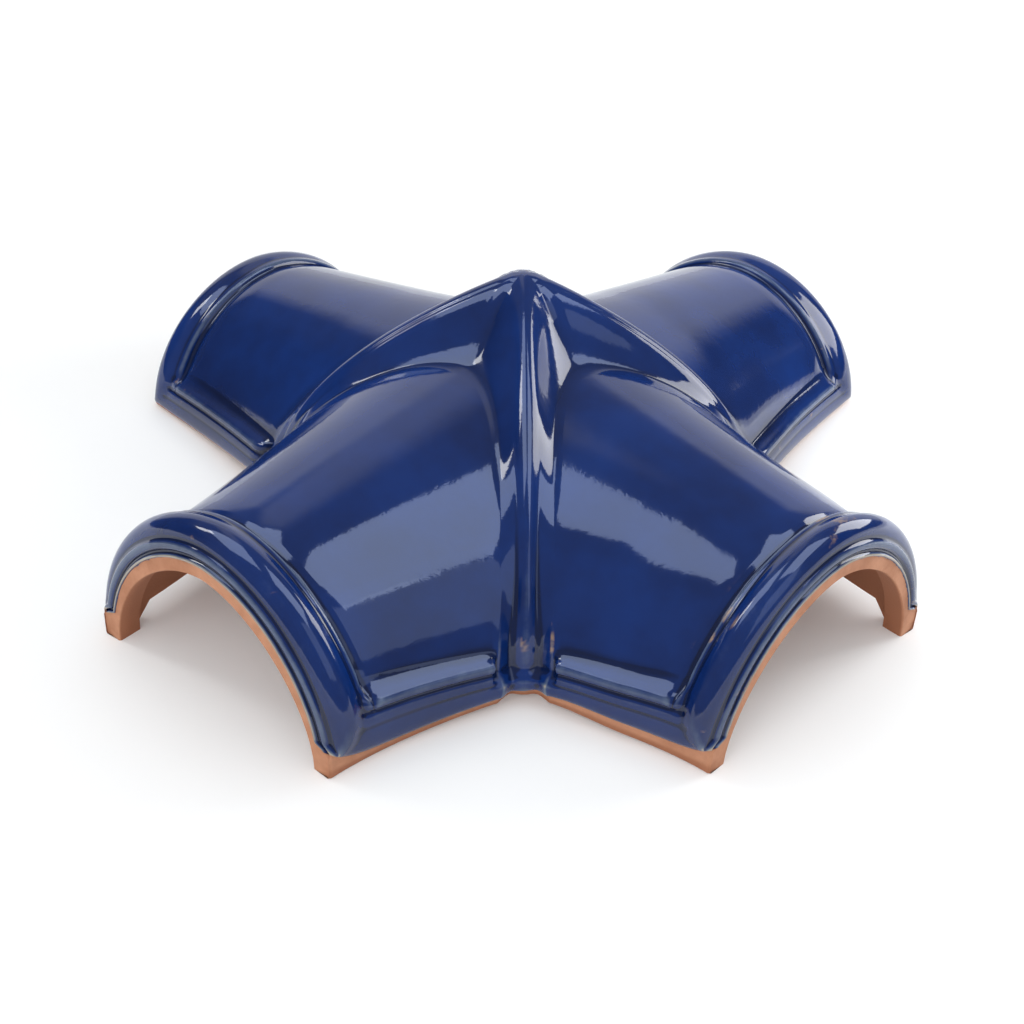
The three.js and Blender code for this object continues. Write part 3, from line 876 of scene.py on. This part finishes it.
def soft_box(name, turn, rise, distance, size, watts, lights="all", colour=WHITE):
    """A soft light that faces the tile, its turn and rise in degrees as seen with the camera.

    A box for the "glaze" shows only as a reflection in it. A box for the "clay" lights the clay
    and the paper, and isn't reflected.
    """
    way = towards(CAMERA_TURN + math.radians(turn), math.radians(rise))
    lamp = bpy.data.lights.new(name, "AREA")
    lamp.shape = "RECTANGLE"
    lamp.size, lamp.size_y = size
    lamp.energy = watts
    lamp.color = colour
    box = bpy.data.objects.new(name, lamp)
    box.visible_glossy = lights != "clay"
    box.visible_diffuse = lights != "glaze"
    box.location = target + way * distance
    box.rotation_euler = way.to_track_quat("Z", "Y").to_euler()
    bpy.context.scene.collection.objects.link(box)


soft_box("left_gleam", -88, 66, 1.7, (1.0, 1.1), 9, "glaze", COOL)
soft_box("right_gleam", 78, 63, 1.7, (1.0, 1.0), 9, "glaze", COOL)
soft_box("low_right_gleam", 44, 32, 1.9, (0.95, 1.05), 2.4, "glaze", COOL)
soft_box("strip_right", 109, 27, 0.9, (0.42, 0.46), 3.6)
soft_box("strip_left", -104, 43, 1.9, (0.28, 0.55), 4.2)
soft_box("left", -88, 66, 1.7, (1.0, 1.1), 13, "clay")
soft_box("right", 78, 63, 1.7, (1.0, 1.0), 13, "clay")
soft_box("overhead", 0, 88, 4.0, (6.0, 6.0), 100, "clay")
soft_box("front", -15, 35, 2.0, (1.5, 1.0), 12, "clay")
soft_box("fill_right", 70, 14, 2.4, (2.2, 1.1), 6, "clay")
soft_box("fill_left", -60, 14, 2.4, (2.2, 1.1), 10, "clay")

# The room is a plain grey studio with a lit white wall behind the tile. Its corners beside the
# wall are dark, and light from the wall hangs on above its left part.

ROOM = 0.25
DARK_CORNERS = 0.08
WALL = 0.9
HAZE = 0.5
# Each pair is where an edge starts and ends, as the cosine of the angle from the wall's middle,
# from its left or from straight up.
WALL_EDGE = (0.68, 0.80)
WALL_TOP = (0.50, 0.68)
CORNERS_END = (-0.1, 0.3)
CORNERS_TOP = (0.40, 0.60)
HAZE_RIGHT = (-0.05, 0.08)
HAZE_LEFT = (0.20, 0.34)
HAZE_EDGE = (0.35, 0.5)

studio = bpy.data.worlds.new("studio")
new_shader(studio)
look = Shade.node("ShaderNodeTexCoord", output="Generated")
to_wall = Vector((-back.x, -back.y, 0)).normalized()


def share_of(direction):
    return Shade.node("ShaderNodeVectorMath", {"operation": "DOT_PRODUCT"},
                      {0: look, 1: direction}, output="Value")


upward = share_of((0, 0, 1))
wallward = share_of(to_wall)
leftward = share_of((-to_wall.y, to_wall.x, 0))
wall = wallward.between(*WALL_EDGE) * (1 - upward.between(*WALL_TOP))
haze = leftward.between(*HAZE_RIGHT) * (1 - leftward.between(*HAZE_LEFT))
haze = haze * wallward.between(*HAZE_EDGE) * upward.between(*WALL_TOP)
open_room = (0 - wallward).between(*CORNERS_END)
open_room = open_room + (1 - open_room) * upward.between(*CORNERS_TOP)
brightness = DARK_CORNERS + open_room * (ROOM - DARK_CORNERS)
brightness = brightness + wall * (WALL - DARK_CORNERS) + haze * HAZE
Shade.node("ShaderNodeOutputWorld", {}, {
    "Surface": Shade.node("ShaderNodeBackground", {}, {"Color": (1, 1, 1, 1), "Strength": brightness}),
})
bpy.context.scene.world = studio
